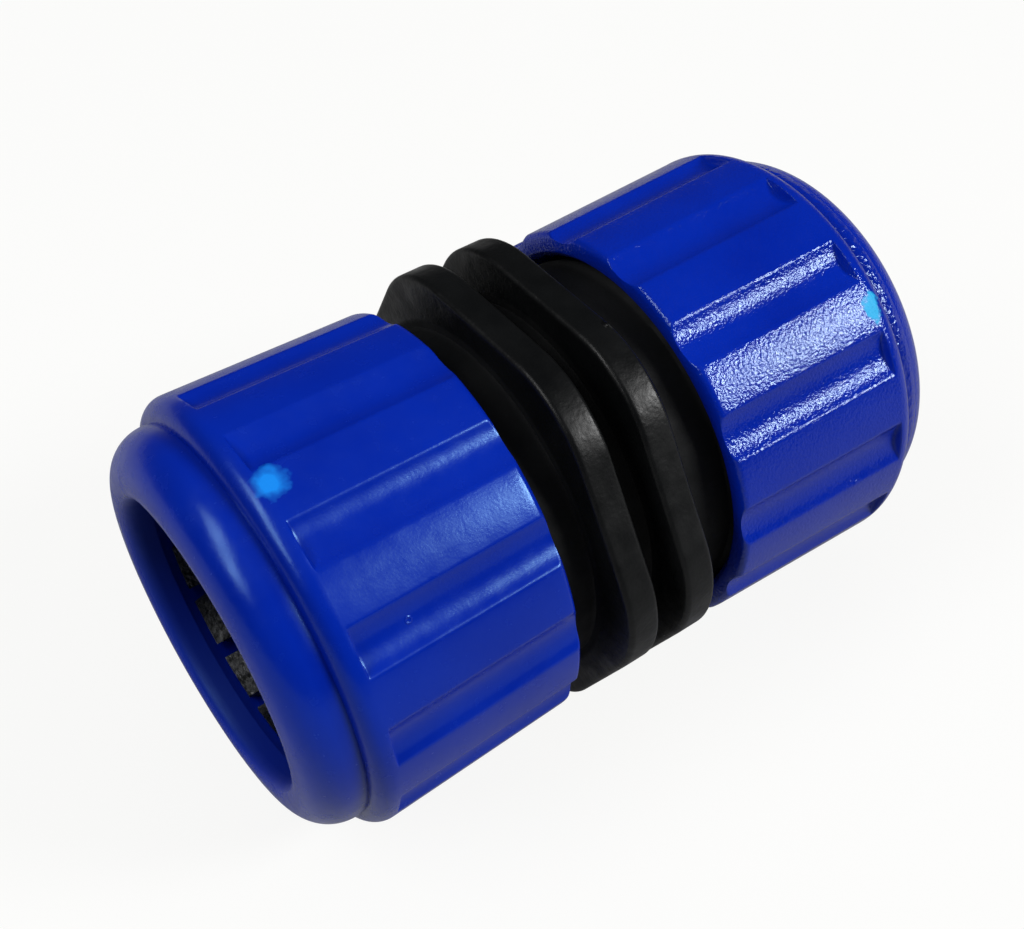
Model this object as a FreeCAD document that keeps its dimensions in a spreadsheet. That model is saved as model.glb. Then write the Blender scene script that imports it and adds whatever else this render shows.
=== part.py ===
"""Hose mender for a 19 mm garden hose, in millimetres.

A black body with a barbed spigot each way, two rounded hexagon flanges to hold it by,
and a blue fluted nut on each side. Inside each nut a split grip ring turns freely.
The waterway runs along X through the origin, and one flat of the hexagons faces up.
"""
import FreeCAD, Part
import math
import os
import Sketcher

SIZES = {
    "waterway_radius": 7.3,
    "spigot_radius": 9.5,
    "spigot_length": 28.8,
    "spigot_tip_radius": 8.9,
    "barb_height": 0.6,
    "barb_pitch": 2.9,
    "barb_step": 0.25,
    "barb_lead": 2.4,
    "hose_room": 4.1,
    "hose_stop": 2.5,
    "barrel_wall": 2.65,
    "barrel_reach": 9.75,
    "barrel_chamfer": 0.6,
    "flange_gap": 3.0,
    "flange_thickness": 3.05,
    "flange_half_width": 19.6,
    "flange_corner_radius": 10.3,
    "flange_edge_radius": 0.6,
    "nut_standoff": 4.35,
    "body_shift": 0.5,
    "thread_room": 0.9,
    "thread_depth": 10.1,
    "thread_chamfer": 0.6,
    "clip_wall": 1.0,
    "clip_groove": 1.8,
    "grip_wall": 2.3,
    "grip_rise": 0.55,
    "grip_length": 18.3,
    "grip_round": 0.6,
    "flute_stop": 0.2,
    "flute_radius": 3.8,
    "flute_depth": 0.74,
    "collar_round": 1.85,
    "lip_reach": 2.4,
    "lip_drop": 1.62,
    "mouth_step": 0.5,
    "mouth_round": 1.4,
    "throat_length": 1.15,
    "cone_length": 5.7,
    "claw_wall": 2.15,
    "claw_slot": 1.4,
    "claw_root": 2.2,
    "claw_tip_setback": 0.8,
    "bead_height": 0.85,
    "tooth_pitch": 1.45,
    "tooth_step": 0.2,
    "tooth_height": 0.6,
    "clearance": 0.3,
    "side_play": 0.2,
}
BARB_COUNT = 4
TOOTH_COUNT = 3
FLUTE_COUNT = 14
CLAW_COUNT = 14
FLUTE_LEAN_DEG = 4.0
CLAW_LEAN_DEG = 8.3
SHEET_ROW_START = 2
NEAR = 0.01

doc = FreeCAD.newDocument("hose_mender")
sheet = doc.addObject("Spreadsheet::Sheet", "Sizes")
for row, (alias, value) in enumerate(SIZES.items(), SHEET_ROW_START):
    sheet.set(f"A{row}", alias)
    sheet.set(f"B{row}", str(value))
    sheet.setAlias(f"B{row}", alias)
doc.recompute()


class Length:
    """A size with its number and the formula that binds it to the sheet."""

    def __init__(self, value, text):
        self.value = value
        self.text = text

    def combine(self, other, sign, value):
        text = other.text if isinstance(other, Length) else str(other)
        return Length(value, f"({self.text} {sign} {text})")

    def __add__(self, other):
        return self.combine(other, "+", self.value + number(other))

    def __sub__(self, other):
        return self.combine(other, "-", self.value - number(other))

    def __mul__(self, other):
        return self.combine(other, "*", self.value * number(other))

    def __truediv__(self, other):
        return self.combine(other, "/", self.value / number(other))


def number(item):
    return item.value if isinstance(item, Length) else item


def size(alias):
    return Length(float(sheet.get(alias)), f"Sizes.{alias}")


class Corner:
    """A corner of an outline, and the arc that leaves it, if it isn't a straight line."""

    def __init__(self, along, radius, centre=None, clockwise=True, found=False):
        self.along = along
        self.radius = radius
        self.centre = centre
        self.clockwise = clockwise
        self.found = found


def origin_feature(body, role):
    for item in body.Origin.OriginFeatures:
        if item.Role == role:
            return item
    raise RuntimeError(f"{body.Label} has no {role}")


def new_sketch(body, name, role, offset=None, turn=None):
    sketch = body.newObject("Sketcher::SketchObject", name)
    sketch.AttachmentSupport = [(origin_feature(body, role), "")]
    sketch.MapMode = "FlatFace"
    if turn is not None:
        sketch.AttachmentOffset = FreeCAD.Placement(FreeCAD.Vector(), turn)
    if offset is not None:
        sketch.setExpression(".AttachmentOffset.Base.z", offset.text)
    return sketch


def hold(sketch, kind, geometry, point, length, name):
    index = sketch.addConstraint(
        Sketcher.Constraint(kind, -1, 1, geometry, point, length.value)
    )
    sketch.renameConstraint(index, name)
    sketch.setExpression(f"Constraints.{name}", length.text)


def edge_between(first, second):
    start = FreeCAD.Vector(number(first.along), number(first.radius), 0)
    finish = FreeCAD.Vector(number(second.along), number(second.radius), 0)
    if first.centre is None:
        return Part.LineSegment(start, finish), 1, 2
    centre = FreeCAD.Vector(number(first.centre[0]), number(first.centre[1]), 0)
    circle = Part.Circle(centre, FreeCAD.Vector(0, 0, 1), (start - centre).Length)
    angles = [math.atan2(p.y - centre.y, p.x - centre.x) for p in (start, finish)]
    if first.clockwise:
        return Part.ArcOfCircle(circle, angles[1], angles[0]), 2, 1
    return Part.ArcOfCircle(circle, angles[0], angles[1]), 1, 2


def draw_outline(sketch, corners):
    """Draw a closed outline and hold each corner and arc centre by the sheet's sizes."""
    ends = []
    for index, corner in enumerate(corners):
        following = corners[(index + 1) % len(corners)]
        shape, start, finish = edge_between(corner, following)
        ends.append((sketch.addGeometry(shape, False), start, finish))
    for index, (geometry, _, finish) in enumerate(ends):
        after, after_start, _ = ends[(index + 1) % len(ends)]
        sketch.addConstraint(
            Sketcher.Constraint("Coincident", geometry, finish, after, after_start)
        )
    for index, corner in enumerate(corners):
        geometry, start, _ = ends[index]
        if not corner.found:
            if number(corner.along) == 0:
                sketch.addConstraint(Sketcher.Constraint("PointOnObject", geometry, start, -2))
            else:
                hold(sketch, "DistanceX", geometry, start, corner.along, f"corner_{index}_x")
            hold(sketch, "DistanceY", geometry, start, corner.radius, f"corner_{index}_r")
        if corner.centre is not None:
            centre_x, centre_r = corner.centre
            next_found = corners[(index + 1) % len(corners)].found
            if corner.found or next_found:
                hold(sketch, "DistanceX", geometry, 3, centre_x, f"centre_{index}_x")
            hold(sketch, "DistanceY", geometry, 3, centre_r, f"centre_{index}_r")


def revolve(body, name, corners, turn=None):
    sketch = new_sketch(body, f"{name}_outline", "XZ_Plane", turn=turn)
    draw_outline(sketch, corners)
    feature = body.newObject("PartDesign::Revolution", name)
    feature.Profile = sketch
    feature.ReferenceAxis = (sketch, ["H_Axis"])
    feature.Angle = 360
    doc.recompute()
    return feature


def repeat_around(body, name, feature, count):
    pattern = body.newObject("PartDesign::PolarPattern", name)
    pattern.Originals = [feature]
    pattern.Axis = (origin_feature(body, "X_Axis"), [""])
    pattern.Angle = 360
    pattern.Occurrences = count
    body.Tip = pattern
    doc.recompute()
    return pattern


def check_cut(before, feature):
    if feature.Shape.Volume >= before - NEAR:
        raise RuntimeError(f"{feature.Label} removed nothing")


# Places along the waterway, measured outwards from the middle of the body.
clearance = size("clearance")
side_play = size("side_play")
flange_inner = size("flange_gap") / 2
flange_outer = flange_inner + size("flange_thickness")
barrel_end = flange_outer + size("barrel_reach")
barrel_bore = size("spigot_radius") + size("hose_room")
barrel_radius = barrel_bore + size("barrel_wall")

nut_start = flange_outer + size("nut_standoff")
thread_radius = barrel_radius + size("thread_room")
grip_end_radius = thread_radius + size("grip_wall")
collar_radius = grip_end_radius + size("grip_rise")
thread_end = nut_start + size("thread_depth")
groove_start = thread_end + size("clip_wall")
groove_end = groove_start + size("clip_groove")
collar_start = nut_start + size("grip_length")
mouth_radius = barrel_bore - size("mouth_step")
lip_centre_radius = mouth_radius + size("mouth_round")
lip_round = collar_radius - size("lip_drop") - lip_centre_radius
lip_middle = collar_start + size("lip_reach")
lip_crest = lip_middle + lip_round
throat_outer = lip_crest - size("mouth_round")
throat_inner = throat_outer - size("throat_length")
cone_start = throat_inner - size("cone_length")
claw_inner_radius = mouth_radius + clearance
claw_outer_radius = claw_inner_radius + size("claw_wall")
tooth_radius = claw_inner_radius - size("tooth_height")
claw_bore = claw_outer_radius + clearance
bead_radius = claw_outer_radius + size("bead_height")
groove_radius = bead_radius + clearance


def add_barbs(corners):
    """Saw-tooth barbs from the spigot's tip inwards: each rises slowly and drops sharply."""
    crest_radius = size("spigot_radius") + size("barb_height")
    for index in range(BARB_COUNT):
        crest = size("spigot_length") - size("barb_lead") - size("barb_pitch") * index
        corners.append(Corner(crest, crest_radius))
        corners.append(Corner(crest - size("barb_step"), size("spigot_radius")))


def make_mender_body():
    body = doc.addObject("PartDesign::Body", "body")
    body.Label = "body"
    corners = [
        Corner(0, size("waterway_radius")),
        Corner(size("spigot_length"), size("waterway_radius")),
        Corner(size("spigot_length"), size("spigot_tip_radius")),
    ]
    add_barbs(corners)
    corners += [
        Corner(size("hose_stop"), size("spigot_radius")),
        Corner(size("hose_stop"), barrel_bore),
        Corner(barrel_end, barrel_bore),
        Corner(barrel_end, barrel_radius - size("barrel_chamfer")),
        Corner(barrel_end - size("barrel_chamfer"), barrel_radius),
        Corner(0, barrel_radius),
    ]
    half_turn = FreeCAD.Rotation(FreeCAD.Vector(0, 1, 0), 180)
    revolve(body, "right_half", corners)
    revolve(body, "left_half", corners, turn=half_turn)
    left_start = (flange_outer * -1)
    for name, start in (("left_flange", left_start), ("right_flange", flange_inner)):
        add_flange(body, name, start)
    round_flanges(body)
    return body


def add_flange(body, name, start):
    """A hexagon plate round the barrel, with one flat up."""
    sketch = new_sketch(body, f"{name}_outline", "YZ_Plane", offset=start)
    half = number(size("flange_half_width"))
    points = []
    for index in range(6):
        angle = math.radians(60 * index)
        reach = half / math.cos(math.radians(30))
        points.append(FreeCAD.Vector(reach * math.cos(angle), reach * math.sin(angle), 0))
    for index in range(6):
        sketch.addGeometry(Part.LineSegment(points[index], points[(index + 1) % 6]), False)
    for index in range(6):
        sketch.addConstraint(Sketcher.Constraint("Coincident", index, 2, (index + 1) % 6, 1))
    ring = sketch.addGeometry(
        Part.Circle(FreeCAD.Vector(), FreeCAD.Vector(0, 0, 1), half), True
    )
    sketch.addConstraint(Sketcher.Constraint("Coincident", ring, 3, -1, 1))
    radius = sketch.addConstraint(Sketcher.Constraint("Radius", ring, half))
    sketch.renameConstraint(radius, "half_width")
    sketch.setExpression("Constraints.half_width", "Sizes.flange_half_width")
    for index in range(6):
        sketch.addConstraint(Sketcher.Constraint("Tangent", index, ring))
    for index in range(5):
        sketch.addConstraint(Sketcher.Constraint("Equal", index, index + 1))
    sketch.addConstraint(Sketcher.Constraint("Horizontal", 1))
    hole_size = barrel_bore + size("barrel_wall") / 2
    hole = sketch.addGeometry(
        Part.Circle(FreeCAD.Vector(), FreeCAD.Vector(0, 0, 1), number(hole_size)), False
    )
    sketch.addConstraint(Sketcher.Constraint("Coincident", hole, 3, -1, 1))
    inside = sketch.addConstraint(Sketcher.Constraint("Radius", hole, number(hole_size)))
    sketch.renameConstraint(inside, "hole_radius")
    sketch.setExpression("Constraints.hole_radius", hole_size.text)
    pad = body.newObject("PartDesign::Pad", name)
    pad.Profile = sketch
    pad.setExpression("Length", "Sizes.flange_thickness")
    doc.recompute()
    return pad


def round_flanges(body):
    """Round the hexagons' corners first, then the edges of their faces."""
    corner_reach = number(size("flange_half_width")) / math.cos(math.radians(30))
    corners = []
    for index, edge in enumerate(body.Tip.Shape.Edges, 1):
        middle = edge.CenterOfMass
        if abs(math.hypot(middle.y, middle.z) - corner_reach) < NEAR:
            corners.append(f"Edge{index}")
    add_fillet(body, "flange_corners", corners, "flange_corner_radius")
    rims = []
    least = number(barrel_radius) + NEAR
    for index, edge in enumerate(body.Tip.Shape.Edges, 1):
        box = edge.BoundBox
        ends = [math.hypot(vertex.Y, vertex.Z) for vertex in edge.Vertexes]
        if box.XLength < NEAR and min(ends) > least:
            rims.append(f"Edge{index}")
    add_fillet(body, "flange_edges", rims, "flange_edge_radius")


def add_fillet(body, name, edges, alias):
    base = body.Tip
    fillet = body.newObject("PartDesign::Fillet", name)
    fillet.Base = (base, edges)
    fillet.setExpression("Radius", f"Sizes.{alias}")
    body.Tip = fillet
    doc.recompute()
    return fillet


def make_nut(label):
    """A nut from its open end outwards: rounded rim, taper, flutes, collar, lip, cone.

    The crease between the collar and the lip is where their two arcs meet.
    Its corner is only a first guess, which the sketch solver moves onto both arcs.
    """
    body = doc.addObject("PartDesign::Body", label)
    body.Label = label
    collar_middle = collar_radius - size("collar_round")
    crease_x = collar_start + size("collar_round") * 0.95
    crease_r = lip_centre_radius + lip_round * 0.97
    end_x = nut_start + size("grip_round")
    end_r = grip_end_radius - size("grip_round")
    corners = [
        Corner(nut_start, end_r, centre=(end_x, end_r)),
        Corner(end_x, grip_end_radius),
        Corner(collar_start, collar_radius, centre=(collar_start, collar_middle)),
        Corner(crease_x, crease_r, centre=(lip_middle, lip_centre_radius), found=True),
        Corner(lip_crest, lip_centre_radius, centre=(throat_outer, lip_centre_radius)),
        Corner(throat_outer, mouth_radius),
        Corner(throat_inner, mouth_radius),
        Corner(cone_start, claw_bore),
        Corner(groove_end, claw_bore),
        Corner(groove_end, groove_radius),
        Corner(groove_start, groove_radius),
        Corner(groove_start, claw_bore),
        Corner(thread_end, claw_bore),
        Corner(thread_end, thread_radius),
        Corner(nut_start + size("thread_chamfer"), thread_radius),
        Corner(nut_start, thread_radius + size("thread_chamfer")),
    ]
    turned = revolve(body, f"{label}_turned", corners)
    flute = cut_flute(body, label, turned)
    repeat_around(body, f"{label}_flutes", flute, FLUTE_COUNT)
    return body


def cut_flute(body, label, turned):
    """One shallow round flute that leans with the taper and stops at the collar."""
    rise = size("grip_rise")
    run = size("grip_length")
    slant = Length(math.hypot(rise.value, run.value), f"sqrt({rise.text}^2 + {run.text}^2)")
    middle = grip_end_radius - size("flute_depth") + size("flute_radius")
    sketch = new_sketch(body, f"{label}_flute_outline", "YZ_Plane", offset=nut_start)
    lean = math.degrees(math.atan2(rise.value, run.value))
    turn = FreeCAD.Rotation(FreeCAD.Vector(-1, 0, 0), lean)
    sketch.AttachmentOffset = FreeCAD.Placement(FreeCAD.Vector(0, 0, nut_start.value), turn)
    sketch.setExpression(".AttachmentOffset.Rotation.Angle", f"atan({rise.text} / {run.text})")
    centre = FreeCAD.Vector(0, number(middle), 0)
    round_size = size("flute_radius")
    sketch.addGeometry(
        Part.Circle(centre, FreeCAD.Vector(0, 0, 1), number(round_size)), False
    )
    sketch.addConstraint(Sketcher.Constraint("PointOnObject", 0, 3, -2))
    hold(sketch, "DistanceY", 0, 3, middle, "flute_middle")
    index = sketch.addConstraint(Sketcher.Constraint("Radius", 0, number(round_size)))
    sketch.renameConstraint(index, "flute_round")
    sketch.setExpression("Constraints.flute_round", round_size.text)
    flute = body.newObject("PartDesign::Pocket", f"{label}_flute")
    flute.Profile = sketch
    flute.Reversed = True
    length = (run - size("flute_stop") + middle * rise / slant) * slant / run
    flute.setExpression("Length", length.text)
    doc.recompute()
    check_cut(turned.Shape.Volume, flute)
    return flute


def make_collet(label):
    """The grip ring: a clipped-in ring, and claws with teeth inside and a cone outside."""
    body = doc.addObject("PartDesign::Body", label)
    body.Label = label
    ring_start = groove_start + side_play
    bead_end = groove_end - side_play
    tip = throat_inner - size("claw_tip_setback")
    slope = (claw_bore - mouth_radius) / size("cone_length")
    tip_outer = mouth_radius + slope * size("claw_tip_setback") - clearance
    corners = [
        Corner(ring_start, claw_inner_radius),
        Corner(ring_start, bead_radius),
        Corner(bead_end, bead_radius),
        Corner(bead_end, claw_outer_radius),
        Corner(cone_start, claw_outer_radius),
        Corner(tip, tip_outer),
        Corner(tip, tooth_radius),
    ]
    for index in range(TOOTH_COUNT):
        crest = tip - size("tooth_pitch") * (index + 1)
        corners.append(Corner(crest, tooth_radius))
        corners.append(Corner(crest - size("tooth_step"), claw_inner_radius))
    turned = revolve(body, f"{label}_turned", corners)
    slot = cut_slot(body, label, turned, ring_start, tip)
    repeat_around(body, f"{label}_slots", slot, CLAW_COUNT)
    return body


def cut_slot(body, label, turned, ring_start, tip):
    """One slot between two claws, open at the tip and round the ring's far side closed."""
    sketch = new_sketch(body, f"{label}_slot_outline", "XY_Plane")
    half = size("claw_slot") / 2
    root = ring_start + size("claw_root")
    reach = tip + clearance
    places = [(root, -1), (reach, -1), (reach, 1), (root, 1)]
    points = [FreeCAD.Vector(number(x), number(half) * sign, 0) for x, sign in places]
    for index in range(4):
        sketch.addGeometry(Part.LineSegment(points[index], points[(index + 1) % 4]), False)
    for index in range(4):
        sketch.addConstraint(Sketcher.Constraint("Coincident", index, 2, (index + 1) % 4, 1))
    sketch.addConstraint(Sketcher.Constraint("Horizontal", 0))
    sketch.addConstraint(Sketcher.Constraint("Horizontal", 2))
    sketch.addConstraint(Sketcher.Constraint("Vertical", 1))
    sketch.addConstraint(Sketcher.Constraint("Symmetric", 0, 1, 2, 2, -1))
    hold(sketch, "DistanceX", 0, 1, root, "slot_root")
    hold(sketch, "DistanceX", 1, 1, reach, "slot_reach")
    hold(sketch, "DistanceY", 2, 1, half, "slot_half")
    pocket = body.newObject("PartDesign::Pocket", f"{label}_slot")
    pocket.Profile = sketch
    pocket.Reversed = True
    pocket.setExpression("Length", (bead_radius + clearance).text)
    doc.recompute()
    check_cut(turned.Shape.Volume, pocket)
    return pocket


def place(body, side, lean):
    """Set a piece on its side of the middle, leaned about the waterway by some degrees."""
    across = FreeCAD.Rotation(FreeCAD.Vector(0, 0, 1), 0 if side > 0 else 180)
    about = FreeCAD.Rotation(FreeCAD.Vector(1, 0, 0), lean * side)
    body.Placement = FreeCAD.Placement(FreeCAD.Vector(), across.multiply(about))


# The left nut is screwed further on, so the body sits a little to the left of the middle.
mender = make_mender_body()
mender.setExpression(".Placement.Base.x", "-Sizes.body_shift")
pieces = [mender]
for side, side_name in ((-1, "left"), (1, "right")):
    nut = make_nut(f"{side_name}_nut")
    place(nut, side, FLUTE_LEAN_DEG)
    collet = make_collet(f"{side_name}_collet")
    place(collet, side, CLAW_LEAN_DEG)
    pieces += [nut, collet]

doc.recompute()
for item in doc.Objects:
    if "Invalid" in item.State or "Error" in item.State:
        raise RuntimeError(f"{item.Label} failed: {item.State}")
for piece in pieces:
    if piece.Shape.isNull() or not piece.Shape.isValid():
        raise RuntimeError(f"{piece.Label} has no valid shape")

os.makedirs("parts", exist_ok=True)
for piece in pieces:
    piece.Shape.exportStep(f"parts/{piece.Label}.step")
    box = piece.Shape.BoundBox
    print(
        piece.Label,
        "solids", len(piece.Shape.Solids),
        "volume", round(piece.Shape.Volume, 1),
        "x", round(box.XMin, 2), round(box.XMax, 2),
        "y", round(box.YMin, 2), round(box.YMax, 2),
        "z", round(box.ZMin, 2), round(box.ZMax, 2),
    )
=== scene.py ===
# %% [markdown]
# # A garden hose mender
#
# The real thing joins two ends of garden hose.  A black moulded body carries a barbed
# spigot each way and two rounded hexagon flanges to hold it by.  A blue nut screws over
# each end, and its grip ring squeezes the hose onto the barbs.
#
# The solids come from the construction model, already in their right places.  This
# lesson puts finer skins over them, gives them plastic finishes, and lights them softly.
# Everything is in metres, but sizes are easier to read in millimetres, so each one is
# written in millimetres and multiplied by MM.

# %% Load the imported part
import math

import bmesh
import bpy
import numpy as np
from mathutils import Matrix, Quaternion, Vector


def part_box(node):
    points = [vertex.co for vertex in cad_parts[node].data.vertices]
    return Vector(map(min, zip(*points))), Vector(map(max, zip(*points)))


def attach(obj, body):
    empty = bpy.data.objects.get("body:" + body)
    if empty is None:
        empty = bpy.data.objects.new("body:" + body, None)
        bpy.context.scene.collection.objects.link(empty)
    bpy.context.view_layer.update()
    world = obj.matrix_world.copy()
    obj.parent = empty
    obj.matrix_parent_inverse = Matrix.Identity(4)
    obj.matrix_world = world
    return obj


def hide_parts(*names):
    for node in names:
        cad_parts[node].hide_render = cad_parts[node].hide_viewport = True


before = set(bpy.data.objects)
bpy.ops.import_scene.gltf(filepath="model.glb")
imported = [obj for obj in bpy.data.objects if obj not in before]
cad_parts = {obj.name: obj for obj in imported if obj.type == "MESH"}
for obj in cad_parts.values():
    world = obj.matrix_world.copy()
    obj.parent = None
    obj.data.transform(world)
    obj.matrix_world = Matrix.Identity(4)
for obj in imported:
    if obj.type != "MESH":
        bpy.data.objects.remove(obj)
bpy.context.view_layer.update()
MM = 0.001
print("nodes:", sorted(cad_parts))

# %% [markdown]
# ## Where things are along the waterway
#
# The waterway runs along X.  Each nut is the mirror image of the other about X = 0, but
# the left nut is screwed further on, so the black body sits a little to the left.  Its
# place is read from the box of its solid, so the skin always lands on the solid.

# %% Places along X
low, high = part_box("body")
BODY_MIDDLE = (low.x + high.x) / 2 / MM
low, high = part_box("right_nut")
NUT_START = low.x / MM
NUT_END = high.x / MM
COLLAR_RADIUS = high.z / MM
print(f"body middle {BODY_MIDDLE:.2f} mm, right nut {NUT_START:.2f} to {NUT_END:.2f} mm")

# %% [markdown]
# ## Rings joined into a skin
#
# Everything here was turned or moulded round one line, so each skin is made of rings of
# points round X.  A ring isn't always a circle: its radius may change with the angle,
# which gives flutes, hexagons and threads from the same few lines.  Angles start at +Y
# and turn towards +Z, and the last ring joins the first, so every skin is closed.


# %% Make a closed skin from rings
def skin(name, along, radii, angles):
    """A closed skin from rings: radii has a row for each ring and a column for each angle."""
    rings, steps = radii.shape
    x = np.broadcast_to(np.asarray(along)[:, None], radii.shape)
    points = np.stack([x, radii * np.cos(angles), radii * np.sin(angles)], -1)
    ring = np.arange(rings)[:, None]
    step = np.arange(steps)[None, :]
    next_ring = (ring + 1) % rings
    next_step = (step + 1) % steps
    corners = [ring * steps + step, ring * steps + next_step,
               next_ring * steps + next_step, next_ring * steps + step]
    faces = np.stack([c.ravel() for c in corners], -1)
    mesh = bpy.data.meshes.new(name)
    mesh.from_pydata((points.reshape(-1, 3) * MM).tolist(), [], faces.tolist())
    return finish_mesh(name, mesh)


def finish_mesh(name, mesh):
    work = bmesh.new()
    work.from_mesh(mesh)
    bmesh.ops.recalc_face_normals(work, faces=work.faces)
    work.to_mesh(mesh)
    work.free()
    mesh.shade_smooth()
    mesh.set_sharp_from_angle(angle=math.radians(38))
    piece = bpy.data.objects.new(name, mesh)
    bpy.context.scene.collection.objects.link(piece)
    print(f"{name}: {len(mesh.polygons)} faces")
    return piece


# %% [markdown]
# ## Rounded outlines
#
# A moulded part has no knife edges.  An outline is written as its sharp corners, each
# with the radius of its rounding, and this helper swaps each corner for a small arc.


# %% Round the corners of an outline
ARC_STEPS = 5


def rounded(corners):
    """Turn (along, radius, rounding) corners into points, with an arc at each corner."""
    points = []
    count = len(corners)
    for index, (along, radius, rounding) in enumerate(corners):
        here = np.array([along, radius])
        if rounding == 0:
            points.append(tuple(here))
            continue
        before = np.array(corners[index - 1][:2]) - here
        after = np.array(corners[(index + 1) % count][:2]) - here
        before /= np.linalg.norm(before)
        after /= np.linalg.norm(after)
        half = math.acos(np.clip(before @ after, -1, 1)) / 2
        middle = (before + after) / np.linalg.norm(before + after)
        centre = here + middle * rounding / math.sin(half)
        start = here + before * rounding / math.tan(half) - centre
        finish = here + after * rounding / math.tan(half) - centre
        for step in range(ARC_STEPS + 1):
            share = step / ARC_STEPS
            swing = math.pi - 2 * half
            arm = (start * math.sin((1 - share) * swing)
                   + finish * math.sin(share * swing)) / math.sin(swing)
            points.append(tuple(centre + arm))
    return points


def arc(centre, radius, start_deg, end_deg, steps):
    """Points on an arc in the plane of the outline, at angles from +X towards outwards."""
    turn = np.radians(np.linspace(start_deg, end_deg, steps + 1))
    return [(centre[0] + radius * math.cos(a), centre[1] + radius * math.sin(a)) for a in turn]


# %% [markdown]
# ## The screw thread
#
# Both threads are right-handed with a 3 mm pitch.  A thread is a ridge that moves along
# X by one pitch in each turn, so its height at a point depends only on X less the
# angle's share of the pitch.  The nut's ridge runs half a pitch from the body's, so the
# two slide past each other when a nut is turned.

# %% Height of a thread ridge
THREAD_PITCH = 3.0
THREAD_HEIGHT = 0.62
THREAD_TOP = 0.5
THREAD_FOOT = 1.25
THREAD_RING_STEP = 0.25
NUT_THREAD_OFFSET = THREAD_PITCH / 2


def thread_ridge(along, angles, offset):
    """Height of a thread's ridge at a place along X and an angle."""
    phase = (along - THREAD_PITCH * angles / (2 * math.pi) - offset) % THREAD_PITCH
    away = np.minimum(phase, THREAD_PITCH - phase)
    slope = (THREAD_FOOT - 2 * away) / (THREAD_FOOT - THREAD_TOP)
    return THREAD_HEIGHT * np.clip(slope, 0, 1)


def fade(along, start, finish, length):
    """1 between start and finish, falling to 0 over a length at each end."""
    return float(np.clip(min(along - start, finish - along) / length, 0, 1))


print(f"thread pitch {THREAD_PITCH} mm, ridges {THREAD_HEIGHT} mm high")


# %% [markdown]
# ## The flutes of a nut
#
# Fourteen shallow round flutes give wet fingers a hold.  Each is a 3.8 mm radius scoop,
# 0.74 mm deep, that follows the nut's slight taper and stops at a wall by the collar.
# The lands between them keep the turned surface.  Where a scoop meets a land the edge is
# crisp, but not sharp, so the two radii are joined by a smooth minimum.

# %% Angles round a nut, packed closely at the flutes' edges
FLUTE_COUNT = 14
FLUTE_AT_DEG = 94.0
FLUTE_RADIUS = 3.8
FLUTE_DEPTH = 0.74
FLUTE_EDGE = 0.16
FLUTE_STEPS_DEG = [0, 1.6, 3.0, 4.1, 4.8, 5.3, 5.65, 5.95, 6.25, 6.6, 7.1, 7.9, 9.2, 11.0]
FLUTE_PITCH_DEG = 360 / FLUTE_COUNT

one_flute = [-step for step in FLUTE_STEPS_DEG[:0:-1]] + FLUTE_STEPS_DEG
one_flute.append(FLUTE_PITCH_DEG / 2)
NUT_ANGLES = np.radians(np.concatenate(
    [FLUTE_AT_DEG + FLUTE_PITCH_DEG * index + np.array(one_flute) for index in range(FLUTE_COUNT)]
))
print(len(NUT_ANGLES), "points round a nut")


def flute_radius(land, grip, angles):
    """Radius of the fluted surface, from the land's radius and the one the flute cuts from."""
    pitch = math.radians(FLUTE_PITCH_DEG)
    off = (angles - math.radians(FLUTE_AT_DEG) + pitch / 2) % pitch - pitch / 2
    middle = grip - FLUTE_DEPTH + FLUTE_RADIUS
    under = FLUTE_RADIUS ** 2 - (middle * np.sin(off)) ** 2
    scoop = np.where(under > 0, middle * np.cos(off) - np.sqrt(np.maximum(under, 0)), land + 9)
    blend = np.clip(0.5 + (scoop - land) / (2 * FLUTE_EDGE), 0, 1)
    return scoop + (land - scoop) * blend - FLUTE_EDGE * blend * (1 - blend)


# %% [markdown]
# ## The outline of a nut
#
# From its open end the nut widens a little to the collar, turns in round the collar's
# edge to a crease, and swells again into a fat round lip.  Inside come the short throat
# that centres the hose, the cone that closes the claws, the groove that the grip ring
# clips into, and the thread.

# %% Outline of a nut
GRIP_END_RADIUS = 19.45
GRIP_ROUND = 0.6
FLUTE_END = 27.02
COLLAR_START = 27.2
COLLAR_ROUND = 1.85
LIP_CENTRE = (29.6, 14.5)
LIP_ROUND = 3.88
MOUTH_RADIUS = 13.1
THROAT_INNER = 30.93
CONE_START = 25.23
CLAW_BORE = 15.85
GROOVE_OUTER = 21.8
GROOVE_INNER = 20.0
GROOVE_RADIUS = 16.7
THREAD_RADIUS = 17.15
THREAD_END = 19.0
THREAD_SPAN = (THREAD_END - 0.3, NUT_START + 0.75)
THREAD_FROM = NUT_START + 0.9
THREAD_TO = THREAD_END - 0.4
THREAD_FADE = 1.2
GRIP_SPAN = (NUT_START + 1.0, FLUTE_END - 0.3)
GRIP_RINGS = 22
RIM_RINGS = 8
LEAD_IN = [(0.6, THREAD_RADIUS), (0.1, 17.62), (0, 17.8)]
WALL = [(0.20, 1), (0.10, 0.96), (0.04, 0.8), (0, 0.5), (-0.03, 0.2), (-0.07, 0.05), (-0.12, 0)]

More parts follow.
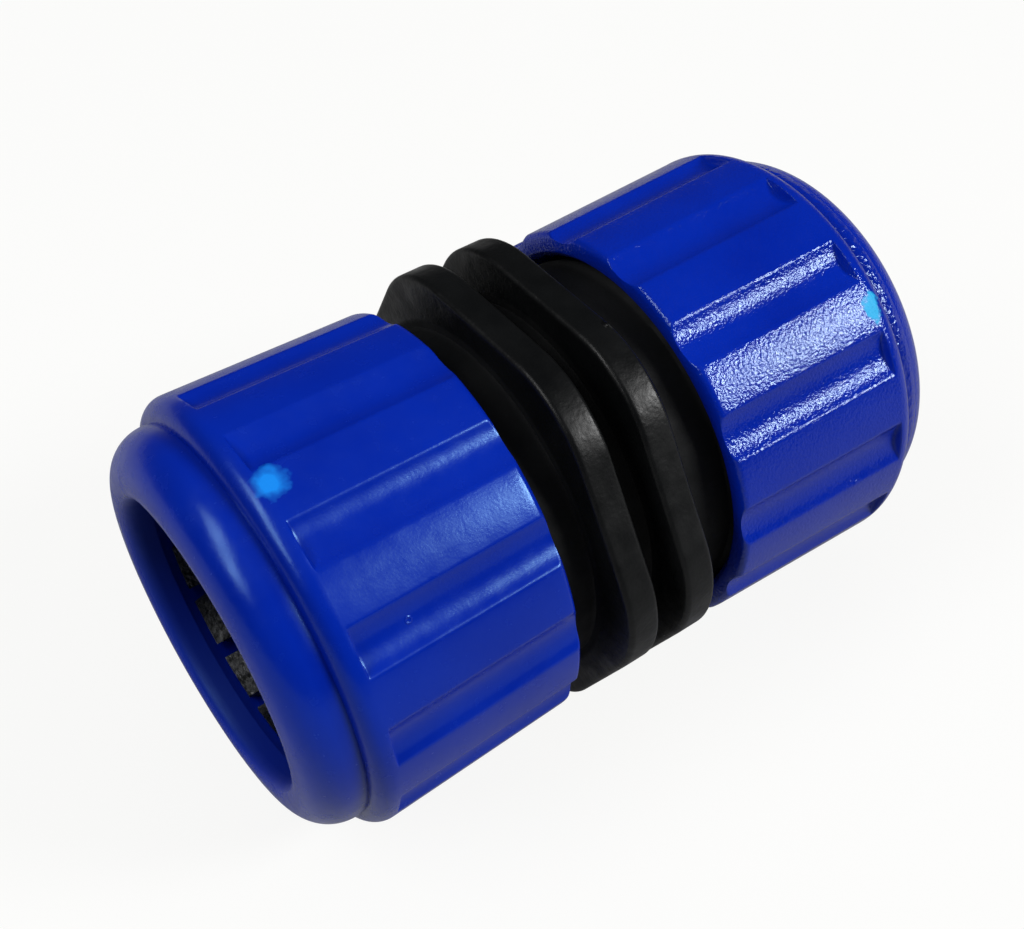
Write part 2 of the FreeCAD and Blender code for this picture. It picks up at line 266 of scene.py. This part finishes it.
collar_centre = (COLLAR_START, COLLAR_RADIUS - COLLAR_ROUND)
reach = math.dist(collar_centre, LIP_CENTRE)
towards = math.atan2(LIP_CENTRE[1] - collar_centre[1], LIP_CENTRE[0] - collar_centre[0])
collar_swing = math.acos(
    (reach ** 2 + COLLAR_ROUND ** 2 - LIP_ROUND ** 2) / (2 * reach * COLLAR_ROUND)
)
lip_swing = math.acos((reach ** 2 + LIP_ROUND ** 2 - COLLAR_ROUND ** 2) / (2 * reach * LIP_ROUND))
collar_to = math.degrees(towards + collar_swing)
lip_from = math.degrees(towards + math.pi - lip_swing)
mouth_round = LIP_CENTRE[1] - MOUTH_RADIUS
collar_points = arc(collar_centre, COLLAR_ROUND, 90, collar_to, 14)
lip_points = arc(LIP_CENTRE, LIP_ROUND, lip_from, 0, 30)
mouth_points = arc((NUT_END - mouth_round, LIP_CENTRE[1]), mouth_round, 0, -90, 10)[1:]
print(f"collar turns to {collar_to:.1f} degrees, lip starts at {lip_from:.1f} degrees")


# %% Build both nuts
def land_radius(along):
    """Radius of the lands: a quarter round at the open end, then the slow taper."""
    before_taper = NUT_START + GRIP_ROUND - along
    if before_taper > 0:
        return GRIP_END_RADIUS - GRIP_ROUND + math.sqrt(GRIP_ROUND ** 2 - before_taper ** 2)
    run = COLLAR_START - NUT_START - GRIP_ROUND
    return GRIP_END_RADIUS - (COLLAR_RADIUS - GRIP_END_RADIUS) * before_taper / run


def grip_radius(along):
    """Radius that the flutes are cut down from, which tapers all the way."""
    share = (along - NUT_START) / (COLLAR_START - NUT_START)
    return GRIP_END_RADIUS + (COLLAR_RADIUS - GRIP_END_RADIUS) * share


def nut_rings():
    """Rings of a right nut: place along X, radius, share of flute, share of thread."""
    rings = []
    for turn in np.radians(np.linspace(0, 90, RIM_RINGS)):
        along = NUT_START + GRIP_ROUND * (1 - math.cos(turn))
        rings.append((along, land_radius(along), 1, 0))
    for along in np.linspace(*GRIP_SPAN, GRIP_RINGS):
        rings.append((along, land_radius(along), 1, 0))
    for before, share in WALL:
        rings.append((FLUTE_END - before, land_radius(FLUTE_END - before), share, 0))
    rings += [(x, r, 0, 0) for x, r in collar_points[1:] + lip_points[1:] + mouth_points]
    inside = rounded([
        (NUT_END, MOUTH_RADIUS, 0),
        (THROAT_INNER, MOUTH_RADIUS, 0.3), (CONE_START, CLAW_BORE, 0.3),
        (GROOVE_OUTER, CLAW_BORE, 0.15), (GROOVE_OUTER, GROOVE_RADIUS, 0.1),
        (GROOVE_INNER, GROOVE_RADIUS, 0.1), (GROOVE_INNER, CLAW_BORE, 0.15),
        (THREAD_END, CLAW_BORE, 0.15), (THREAD_END, THREAD_RADIUS, 0.1),
        (NUT_START, THREAD_RADIUS, 0),
    ])[1:-1]
    rings += [(x, r, 0, 0) for x, r in inside]
    for along in np.arange(*THREAD_SPAN, -THREAD_RING_STEP):
        share = fade(along, THREAD_FROM, THREAD_TO, THREAD_FADE)
        rings.append((along, THREAD_RADIUS, 0, share))
    rings += [(NUT_START + inwards, radius, 0, 0) for inwards, radius in LEAD_IN]
    return rings


def build_nut(side_name, side):
    rings = nut_rings()
    along = np.array([side * ring[0] for ring in rings])
    radii = np.empty((len(rings), len(NUT_ANGLES)))
    for index, (_, radius, flute, thread) in enumerate(rings):
        row = np.full(len(NUT_ANGLES), radius)
        if flute:
            grip = grip_radius(abs(along[index]))
            row += flute * (flute_radius(radius, grip, NUT_ANGLES) - radius)
        if thread:
            row -= thread * thread_ridge(along[index], NUT_ANGLES, NUT_THREAD_OFFSET)
        radii[index] = row
    nut = skin(f"{side_name}_nut_skin", along, radii, NUT_ANGLES)
    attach(nut, f"{side_name}_cap")
    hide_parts(f"{side_name}_nut")
    return nut


nuts = {"left": build_nut("left", -1), "right": build_nut("right", 1)}

# %% [markdown]
# ## The black body
#
# One moulding: a barrel with a thread each way, two hexagon flanges round its middle, and
# inside each end a barbed spigot with room round it for the hose.  The hexagons have big
# corner rounds, so their outline is a flat wherever the flat reaches, and an arc round
# the corner.  Rings packed at the rims round their edges.

# %% Radius of a rounded hexagon
HEX_HALF_WIDTH = 19.6
HEX_CORNER = 10.3
BODY_STEP_DEG = 1.2
BODY_ANGLES = np.radians(np.arange(0, 360, BODY_STEP_DEG))


def hexagon(half_width, corner, angles):
    """Radius of a hexagon with a flat up, at each angle."""
    sixth = math.pi / 3
    off = (angles + sixth / 2) % sixth - sixth / 2
    arm = (half_width - corner) / math.cos(sixth / 2)
    round_part = arm * np.cos(off) + np.sqrt(corner ** 2 - (arm * np.sin(off)) ** 2)
    from_flat = np.abs(sixth / 2 - np.abs(off))
    flat_part = half_width / np.cos(from_flat)
    flat_ends = math.atan((half_width - corner) * math.tan(sixth / 2) / half_width)
    return np.where(from_flat < flat_ends, flat_part, round_part)


# %% Outline of the body
FLANGE_INNER = 1.5
FLANGE_OUTER = 4.55
FLANGE_EDGE = 0.5
FLANGE_FOOT = ((0.22, 0), (0.06, 0.02), (0, 0.1), (0, 0.4), (0, 0.75))
RIM_STEPS = 7
BARREL_RADIUS = 16.25
BARREL_BORE = 13.6
BARREL_END = 14.3
HOSE_STOP = 2.5
SPIGOT_RADIUS = 9.5
SPIGOT_END = 28.8
SPIGOT_TIP_RADIUS = 8.9
WATERWAY_RADIUS = 7.3
BARB_CREST_RADIUS = 10.1
BARB_FIRST = 26.4
BARB_PITCH = 2.9
BARB_STEP = 0.25
BARB_COUNT = 4
BODY_THREAD_START = FLANGE_OUTER + 5.2
BODY_THREAD_END = BARREL_END - 0.75
BODY_THREAD_FADE = 0.8
BARREL_SPAN = (FLANGE_OUTER + 0.6, BARREL_END - 0.7)


def flange_rings():
    """Rings over one flange: place, inset of the rim, and how much hexagon (0 to 1)."""
    foot = [(FLANGE_INNER - off, 0, share) for off, share in FLANGE_FOOT]
    back = [(FLANGE_OUTER + off, 0, share) for off, share in reversed(FLANGE_FOOT)]
    rim = []
    for turn in np.radians(np.linspace(0, 90, RIM_STEPS)):
        rim.append((FLANGE_EDGE * (1 - math.sin(turn)), FLANGE_EDGE * (1 - math.cos(turn))))
    near = [(FLANGE_INNER + a, b, 1) for b, a in rim]
    far = [(FLANGE_OUTER - a, b, 1) for b, a in reversed(rim)]
    crown = [(x, 0, 1) for x in np.linspace(FLANGE_INNER + 0.9, FLANGE_OUTER - 0.9, 3)]
    return foot + near + crown + far + back


def body_half():
    """Rings of the right half, as (along, radius, hexagon share, rim inset, thread share)."""
    half = [(0.3, BARREL_RADIUS, 0, 0, 0)]
    half += [(x, BARREL_RADIUS, share, inset, 0) for x, inset, share in flange_rings()]
    for x in np.arange(*BARREL_SPAN, THREAD_RING_STEP):
        share = fade(x, BODY_THREAD_START, BODY_THREAD_END, BODY_THREAD_FADE)
        half.append((x, BARREL_RADIUS, 0, 0, share))
    inside = [(BARREL_END, BARREL_RADIUS, 0.6), (BARREL_END, BARREL_BORE, 0.3),
              (HOSE_STOP, BARREL_BORE, 0.6), (HOSE_STOP, SPIGOT_RADIUS, 0.6)]
    for index in range(BARB_COUNT - 1, -1, -1):
        crest = BARB_FIRST - BARB_PITCH * index
        inside += [(crest - BARB_STEP, SPIGOT_RADIUS, 0.05), (crest, BARB_CREST_RADIUS, 0.08)]
    inside += [(SPIGOT_END, SPIGOT_TIP_RADIUS, 0.3), (SPIGOT_END, WATERWAY_RADIUS, 0.4)]
    outline = rounded([(0, BARREL_RADIUS, 0)] + inside + [(0, WATERWAY_RADIUS, 0)])[1:-1]
    half += [(x, r, 0, 0, 0) for x, r in outline]
    half += [(x, WATERWAY_RADIUS, 0, 0, 0) for x in (20, 10)]
    return half


# %% Build the body
def build_body():
    right = body_half()
    left = [(-ring[0],) + ring[1:] for ring in reversed(right)]
    middle_bore = [(0, WATERWAY_RADIUS, 0, 0, 0)]
    rings = right + middle_bore + left
    hexagonal = hexagon(HEX_HALF_WIDTH, HEX_CORNER, BODY_ANGLES)
    along = np.array([BODY_MIDDLE + ring[0] for ring in rings])
    radii = np.empty((len(rings), len(BODY_ANGLES)))
    for index, (_, radius, share, inset, thread) in enumerate(rings):
        row = radius + share * (hexagonal - inset - radius)
        if thread:
            row = row + thread * thread_ridge(along[index], BODY_ANGLES, 0)
        radii[index] = row
    body = skin("body_skin", along, radii, BODY_ANGLES)
    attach(body, "mender_body")
    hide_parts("body")
    return body


body = build_body()

# %% [markdown]
# ## Plastic finishes
#
# All of it is moulded plastic, so the finish is in the gloss: a blue that is nearly
# polished, a black that is satin, and dull grey claws.  Noise in the roughness breaks up
# the highlights, and a fine bump gives the glitter that a slightly pitted mould leaves.


# %% Helpers for building finishes
def new_finish(name, colour, roughness):
    finish = bpy.data.materials.new(name)
    finish.use_nodes = True
    shader = finish.node_tree.nodes["Principled BSDF"]
    shader.inputs["Base Color"].default_value = (*colour, 1)
    shader.inputs["Roughness"].default_value = roughness
    return finish, shader


def add_node(finish, kind, **settings):
    node = finish.node_tree.nodes.new(kind)
    for key, value in settings.items():
        if key in node.inputs:
            node.inputs[key].default_value = value
        else:
            setattr(node, key, value)
    return node


def join(finish, source, target):
    finish.node_tree.links.new(source, target)


def place_on_piece(finish):
    """The point on the piece, in metres, before any pose moves it."""
    return add_node(finish, "ShaderNodeTexCoord").outputs["Object"]


def noise(finish, scale, detail=2.0):
    node = add_node(finish, "ShaderNodeTexNoise", Scale=scale, Detail=detail)
    join(finish, place_on_piece(finish), node.inputs["Vector"])
    return node.outputs["Fac"]


def spread(finish, source, low_to, high_to, low_from=0.35, high_from=0.65):
    """Turn a noise's middle range into another range."""
    node = add_node(finish, "ShaderNodeMapRange")
    for socket, value in zip(node.inputs[1:5], (low_from, high_from, low_to, high_to)):
        socket.default_value = value
    join(finish, source, node.inputs["Value"])
    return node.outputs["Result"]


def bump(finish, shader, height, distance, strength=1.0, under=None):
    node = add_node(finish, "ShaderNodeBump", Strength=strength, Distance=distance)
    join(finish, height, node.inputs["Height"])
    if under is not None:
        join(finish, under, node.inputs["Normal"])
    join(finish, node.outputs["Normal"], shader.inputs["Normal"])
    return node.outputs["Normal"]


def calculate(finish, operation, source, value):
    """One step of arithmetic on a number, with a fixed value or another output."""
    node = add_node(finish, "ShaderNodeMath", operation=operation)
    join(finish, source, node.inputs[0])
    if isinstance(value, (int, float)):
        node.inputs[1].default_value = value
    else:
        join(finish, value, node.inputs[1])
    return node.outputs[0]


def distance_from(finish, centre, stretch=(1, 1, 1)):
    """Distance from a point, in metres, or from a line where the stretch is 0 along it."""
    shift = add_node(finish, "ShaderNodeVectorMath", operation="SUBTRACT")
    shift.inputs[1].default_value = centre
    join(finish, place_on_piece(finish), shift.inputs[0])
    scale = add_node(finish, "ShaderNodeVectorMath", operation="MULTIPLY")
    scale.inputs[1].default_value = stretch
    join(finish, shift.outputs[0], scale.inputs[0])
    length = add_node(finish, "ShaderNodeVectorMath", operation="LENGTH")
    join(finish, scale.outputs[0], length.inputs[0])
    return length.outputs["Value"]


def tint(finish, source, first, second):
    """The first colour where the source is 0, and the second where it is 1."""
    node = add_node(finish, "ShaderNodeMix", data_type="RGBA")
    for socket in node.inputs:
        if socket.name in ("A", "B") and socket.type == "RGBA":
            socket.default_value = (*(first if socket.name == "A" else second), 1)
    join(finish, source, node.inputs["Factor"])
    return next(s for s in node.outputs if s.type == "RGBA")


def mix_socket(output, name):
    """The colour socket A or B of the mixer that an output belongs to."""
    return next(s for s in output.node.inputs if s.name == name and s.type == "RGBA")


# %% [markdown]
# ## Marks that use and moulding left
#
# Each mould gate leaves a stress-whitened spot on its nut, where the runner was twisted
# off.  A bubble left a tiny ring on the left nut, the right nut's lip is rippled beside
# the crease, and the right flange has a nib on its edge.


# %% Helpers for the marks
RAGGED_SCALE = 900


def spot(finish, centre, reach, ragged, soft):
    """1 inside an oval spot round a point and 0 outside it, with a ragged edge."""
    far = distance_from(finish, centre, [1 / size for size in reach])
    edge = spread(finish, noise(finish, RAGGED_SCALE, 2), -ragged, ragged)
    return spread(finish, calculate(finish, "ADD", far, edge), 1, 0, 1 - soft, 1 + soft)


def at(along, angle_deg, radius):
    """A point on the part, from its place along X, its angle and its distance from X."""
    angle = math.radians(angle_deg)
    return (along * MM, radius * math.cos(angle) * MM, radius * math.sin(angle) * MM)


# %% Places of the marks
GATE_MARKS = {
    "left": (at(-26.4, 104, 20), (1.2 * MM, 1.2 * MM, 1.2 * MM), 0.22, 0.4),
    "right": (at(27.1, 133.2, 20), (0.8 * MM, 1.3 * MM, 1.3 * MM), 0.4, 0.2),
}
RING_MARK_AT = at(-22.3, 145, 19.2)
RING_MARK_RADIUS = 0.25 * MM
RING_MARK_EDGE = (0.02 * MM, 0.11 * MM)
RIPPLE_AT = at(29.6, 0, 0)
RIPPLE_DEPTH = 0.24 * MM
RIPPLE_ZONE = (0.6 * MM, 1.1 * MM)
NIB_AT = at(3.9, 107.3, 20.4)
NIB_REACH = 0.6 * MM
NIB_HEIGHT = 0.9 * MM
RING_MARK_HEIGHT = 0.04 * MM
print("gate marks on:", sorted(GATE_MARKS))

# %% [markdown]
# ## The blue of the nuts
#
# The blue is cloudy, and painted darker in the crease and inside the mouth: this is painted
# shade, for the little light that gets in there.  The mouth and the gate marks are matt.
# The right nut is glossier, with a coarser sparkle, as the photograph shows.

# %% Colours of the nuts
BLUE = (0.0006, 0.022, 0.43)
BLUE_DARK = (0.0004, 0.017, 0.37)
BLUE_SHADE = (0.0002, 0.009, 0.24)
# The crease and the mouth are painted darker as shade; the mouth is made matt as well.
CREASE_SHADE_AT = {"left": -29.2, "right": 29.2}
CREASE_SHADE_ZONE = (0.2 * MM, 1.3 * MM)
CREASE_SHADE_SHARE = 0.55
MOUTH_ZONE = (13.2 * MM, 13.8 * MM)
MATT_DULLER = 0.4
AROUND = (0, 1, 1)
ALONG = (1, 0, 0)
AXIS_POINT = (0, 0, 0)
BLUE_GLINT = {"left": (0.35, 0.68, 1.0), "right": (0.62, 0.82, 1.0)}
GATE_PALE = {"left": (0.004, 0.27, 0.95), "right": (0.004, 0.46, 0.88)}
CLOUD_SCALE = 90
STREAK_SCALE = 700
STREAK_RANGE = (-0.03, 0.05)
WAVE_SCALE = 260
WAVE_HEIGHT = 0.04 * MM
RIPPLE_SCALE = 1500
# Roughness, then the height and the scale of the sparkle's grain.
BLUE_SURFACE = {"left": (0.23, 0.008 * MM, 4200), "right": (0.13, 0.062 * MM, 3700)}


# %% Build the blue finishes
def blue_finish(side_name, roughness, sparkle, grain):
    """Blue plastic: its sparkle is the height of the fine bump, and its grain the scale."""
    finish, shader = new_finish(f"nut_blue_{side_name}", BLUE, roughness)
    shader.inputs["Specular Tint"].default_value = (*BLUE_GLINT[side_name], 1)
    # Painted shade: the blue is mixed towards BLUE_SHADE in the crease and inside the mouth.
    in_mouth = spread(finish, distance_from(finish, AXIS_POINT, AROUND), 1, 0, *MOUTH_ZONE)
    cloudy = spread(finish, noise(finish, CLOUD_SCALE), 0, 1)
    beside = distance_from(finish, at(CREASE_SHADE_AT[side_name], 0, 0), ALONG)
    crease_shade = spread(finish, beside, CREASE_SHADE_SHARE, 0, *CREASE_SHADE_ZONE)
    shade = calculate(finish, "MAXIMUM", in_mouth, crease_shade)
    shaded_blue = tint(finish, shade, BLUE, BLUE_SHADE)
    join(finish, tint(finish, cloudy, BLUE, BLUE_DARK), mix_socket(shaded_blue, "A"))
    gate = spot(finish, *GATE_MARKS[side_name])
    marked = tint(finish, gate, BLUE, GATE_PALE[side_name])
    join(finish, shaded_blue, mix_socket(marked, "A"))
    join(finish, marked, shader.inputs["Base Color"])
    streak_ends = [roughness + change for change in STREAK_RANGE]
    streaks = spread(finish, noise(finish, STREAK_SCALE, 4), *streak_ends)
    matt = calculate(finish, "MAXIMUM", in_mouth, gate)
    dull = calculate(finish, "MULTIPLY", matt, MATT_DULLER)
    join(finish, calculate(finish, "ADD", streaks, dull), shader.inputs["Roughness"])
    normal = bump(finish, shader, noise(finish, WAVE_SCALE, 3), WAVE_HEIGHT)
    normal = bump(finish, shader, noise(finish, grain, 2), sparkle, under=normal)
    if side_name == "right":
        bump(finish, shader, lip_ripple(finish), RIPPLE_DEPTH, under=normal)
    else:
        bump(finish, shader, ring_mark(finish), RING_MARK_HEIGHT, under=normal)
    return finish


def lip_ripple(finish):
    """Squirming ripples in the skin, only on the lip beside the crease."""
    far = distance_from(finish, RIPPLE_AT, ALONG)
    near_crease = spread(finish, far, 1, 0, *RIPPLE_ZONE)
    return calculate(finish, "MULTIPLY", noise(finish, RIPPLE_SCALE, 1), near_crease)


def ring_mark(finish):
    """A tiny raised ring, left by a bubble in the mould."""
    far = distance_from(finish, RING_MARK_AT)
    off = calculate(finish, "ABSOLUTE", calculate(finish, "SUBTRACT", far, RING_MARK_RADIUS), 0)
    return spread(finish, off, 1, 0, *RING_MARK_EDGE)


blues = {name: blue_finish(name, *surface) for name, surface in BLUE_SURFACE.items()}
for side_name, nut in nuts.items():
    nut.data.materials.append(blues[side_name])
    print(f"{side_name} nut: {len(blues[side_name].node_tree.nodes)} shader nodes")

# %% [markdown]
# ## The black of the body
#
# The flanges are satin with a faint dust, and the barrel between them is duller.  Two
# bumps, one coarse and one fine, break up the long highlights on the flanges' rims.

# %% Black of the body
BLACK = (0.0022, 0.0026, 0.0030)
BLACK_PALE = (0.0050, 0.0055, 0.0060)
BLACK_GLOSS = 0.25
BARREL_ZONE = (16.8 * MM, 17.2 * MM)
BARREL_DULLER = 0.35
DUST_SCALE = 160
SATIN_SCALE = 500
SATIN_RANGE = (0.33, 0.46)
COARSE_SCALE = 350
COARSE_HEIGHT = 0.12 * MM
FINE_SCALE = 3200
FINE_HEIGHT = 0.02 * MM


def black_finish():
    finish, shader = new_finish("body_black_satin", BLACK, 0.45)
    shader.inputs["Specular IOR Level"].default_value = BLACK_GLOSS
    dusty = spread(finish, noise(finish, DUST_SCALE, 5), 0, 1)
    join(finish, tint(finish, dusty, BLACK, BLACK_PALE), shader.inputs["Base Color"])
    out_from_axis = distance_from(finish, AXIS_POINT, AROUND)
    on_barrel = spread(finish, out_from_axis, BARREL_DULLER, 0, *BARREL_ZONE)
    satin = spread(finish, noise(finish, SATIN_SCALE, 4), *SATIN_RANGE)
    join(finish, calculate(finish, "ADD", satin, on_barrel), shader.inputs["Roughness"])
    normal = bump(finish, shader, noise(finish, COARSE_SCALE, 3), COARSE_HEIGHT)
    normal = bump(finish, shader, noise(finish, FINE_SCALE, 2), FINE_HEIGHT, under=normal)
    nib = spread(finish, distance_from(finish, NIB_AT), 1, 0, 0, NIB_REACH)
    bump(finish, shader, nib, NIB_HEIGHT, under=normal)
    return finish


body.data.materials.append(black_finish())
print("body finish:", body.data.materials[0].name)

# %% [markdown]
# ## The grey of the claws
#
# The pads of the claws are grey and gritty low in the left mouth, where the photograph
# shows them lit: this grey is painted light.  Further off the claws are painted nearly
# black, as painted shade.

# %% Grey of the claws
CLAW = (0.115, 0.118, 0.122)
CLAW_DARK = (0.010, 0.011, 0.012)
# The nearly black of the claws away from the lit pads is painted shade.
CLAW_IN_SHADE = (0.006, 0.007, 0.010)
LIT_PADS_AT = (-29.7 * MM, 6.0 * MM, -11.8 * MM)
LIT_PADS_ZONE = (3.0 * MM, 6.5 * MM)
SPECK_SCALE = 1500
WORN_SCALE = 900
WORN_RANGE = (0.2, 0.5)
GRIT_SCALE = 2600
GRIT_HEIGHT = 0.2 * MM


def claw_finish():
    finish, shader = new_finish("claw_grey_dull", CLAW, 0.5)
    gritty = spread(finish, noise(finish, SPECK_SCALE, 4), 0, 1)
    # Painted light and shade: the claws are grey round the lit pads and nearly black further off.
    lit_pads = spread(finish, distance_from(finish, LIT_PADS_AT), 1, 0, *LIT_PADS_ZONE)
    pads = tint(finish, lit_pads, CLAW_IN_SHADE, CLAW)
    grit = tint(finish, gritty, CLAW, CLAW_DARK)
    join(finish, grit, mix_socket(pads, "B"))
    join(finish, pads, shader.inputs["Base Color"])
    worn = spread(finish, noise(finish, WORN_SCALE, 3), *WORN_RANGE)
    join(finish, worn, shader.inputs["Roughness"])
    bump(finish, shader, noise(finish, GRIT_SCALE, 2), GRIT_HEIGHT)
    return finish


claw_grey = claw_finish()
for side_name in ("left", "right"):
    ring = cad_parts[f"{side_name}_collet"]
    for holder in ring.material_slots:
        holder.material = claw_grey
    print(f"{side_name} grip ring: {len(ring.material_slots)} material")

# %% [markdown]
# ## Camera, floor and light
#
# The photograph was taken from close by, above the left mouth.  A soft lamp stands just
# beyond the camera's line, so its long reflection runs down the lands of both nuts.  The
# floor and the world are white to the camera, but light the part only gently.

# %% Camera
IMAGE_WIDTH = 1024
IMAGE_HEIGHT = 929
FOCAL_PIXELS = 1417.84
AIM_PIXEL = (557.1, 528.67)
CAMERA_AT = Vector((-51.81, -74.51, 93.29)) * MM
CAMERA_RIGHT = Vector((0.7998, -0.6002, -0.0091))
CAMERA_UP = Vector((0.4520, 0.5921, 0.6672))

camera_data = bpy.data.cameras.new("photo_camera")
camera_data.sensor_fit = "HORIZONTAL"
camera_data.sensor_width = 36
camera_data.lens = FOCAL_PIXELS * camera_data.sensor_width / IMAGE_WIDTH
camera_data.shift_x = (IMAGE_WIDTH / 2 - AIM_PIXEL[0]) / IMAGE_WIDTH
camera_data.shift_y = (AIM_PIXEL[1] - IMAGE_HEIGHT / 2) / IMAGE_WIDTH
camera_data.clip_start = 0.005
camera_data.clip_end = 20
camera = bpy.data.objects.new("photo_camera", camera_data)
bpy.context.scene.collection.objects.link(camera)
right = CAMERA_RIGHT.normalized()
back = right.cross(CAMERA_UP).normalized()
up = back.cross(right)
turned = Matrix((right, up, back)).transposed()
camera.matrix_world = Matrix.Translation(CAMERA_AT) @ turned.to_4x4()
bpy.context.scene.camera = camera
print(f"lens {camera_data.lens:.2f} mm")

# %% Floor
floor_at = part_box("left_nut")[0].z
bpy.ops.mesh.primitive_plane_add(size=6, location=(0, 0, floor_at))
floor = bpy.context.object
floor.name = "pale_floor"

FLOOR_PALE = (0.9, 0.9, 0.89)
FLOOR_GREY = (0.42, 0.42, 0.42)
GLOW_SHARE = 0.88
GLOSS_SHARE = 0.03


def seen_directly(finish):
    """1 for the camera's own rays, a small share for rays off gloss, 0 for other rays."""
    path = add_node(finish, "ShaderNodeLightPath")
    bounced = add_node(finish, "ShaderNodeMath", operation="MAXIMUM")
    join(finish, path.outputs["Is Glossy Ray"], bounced.inputs[0])
    join(finish, path.outputs["Is Transmission Ray"], bounced.inputs[1])
    weak = add_node(finish, "ShaderNodeMath", operation="MULTIPLY")
    weak.inputs[1].default_value = GLOSS_SHARE
    join(finish, bounced.outputs[0], weak.inputs[0])
    either = add_node(finish, "ShaderNodeMath", operation="MAXIMUM")
    join(finish, path.outputs["Is Camera Ray"], either.inputs[0])
    join(finish, weak.outputs[0], either.inputs[1])
    return either.outputs[0]


def floor_finish():
    finish = bpy.data.materials.new("pale_floor")
    finish.use_nodes = True
    nodes = finish.node_tree.nodes
    shader = nodes["Principled BSDF"]
    shader.inputs["Roughness"].default_value = 0.8
    shader.inputs["Specular IOR Level"].default_value = 0
    glow = add_node(finish, "ShaderNodeEmission", Color=(1.0, 1.0, 0.99, 1), Strength=1.0)
    mixer = add_node(finish, "ShaderNodeMixShader")
    share = add_node(finish, "ShaderNodeMath", operation="MULTIPLY")
    share.inputs[1].default_value = GLOW_SHARE
    seen = seen_directly(finish)
    join(finish, tint(finish, seen, FLOOR_GREY, FLOOR_PALE), shader.inputs["Base Color"])
    join(finish, seen, share.inputs[0])
    join(finish, share.outputs[0], mixer.inputs[0])
    join(finish, shader.outputs[0], mixer.inputs[1])
    join(finish, glow.outputs[0], mixer.inputs[2])
    join(finish, mixer.outputs[0], nodes["Material Output"].inputs["Surface"])
    return finish


floor.data.materials.append(floor_finish())
print(f"floor at {floor_at / MM:.2f} mm")

# %% World
WORLD_DIM = 0.01
WORLD_SEEN = 1.0

world = bpy.data.worlds.new("soft_room")
world.use_nodes = True
bpy.context.scene.world = world
room = world.node_tree
sky = room.nodes["Background"]
sky.inputs["Color"].default_value = (1, 1, 1, 1)
level = room.nodes.new("ShaderNodeMapRange")
level.inputs["To Min"].default_value = WORLD_DIM
level.inputs["To Max"].default_value = WORLD_SEEN
room.links.new(seen_directly(world), level.inputs["Value"])
room.links.new(level.outputs["Result"], sky.inputs["Strength"])


# %% [markdown]
# ## The lamps
#
# Three lamps give the long highlights on the flutes, the flanges, the lips and the
# collars.  The fourth is wide and has no reflection, so it only fills the shadows.


# %% Lamps
def soft_lamp(name, direction, distance, size, power, turn_deg):
    """A rectangle of light that faces the part, its width along the waterway unless turned."""
    data = bpy.data.lights.new(name, "AREA")
    data.shape = "RECTANGLE"
    data.size, data.size_y = size
    data.energy = power
    lamp = bpy.data.objects.new(name, data)
    away = Vector(direction).normalized()
    side = Vector((1, 0, 0))
    side = (side - away * side.dot(away)).normalized()
    side.rotate(Quaternion(away, math.radians(turn_deg)))
    facing = Matrix((side, away.cross(side), away)).transposed()
    lamp.matrix_world = Matrix.Translation(away * distance) @ facing.to_4x4()
    bpy.context.scene.collection.objects.link(lamp)
    return lamp


# Name: direction, distance and size in metres, power in watts, turn in degrees.
LAMPS = {
    "window": ((0.585, -0.593, 0.553), 0.8, (0.24, 0.18), 4.2, 0),
    "wall": ((0.28, -0.72, 0.63), 0.8, (0.30, 0.36), 0.16, 0),
    "lantern": ((-0.67, 0.09, 0.74), 0.8, (0.55, 0.24), 2.6, 38),
    "fill": ((-0.1, 0.1, 1), 1.0, (1.4, 1.4), 4.1, 0),
}
lamps = {name: soft_lamp(name, *settings) for name, settings in LAMPS.items()}
lamps["fill"].visible_glossy = False
print("lamps:", list(lamps))

# %% Output settings
scene = bpy.context.scene
scene.view_settings.view_transform = "Standard"
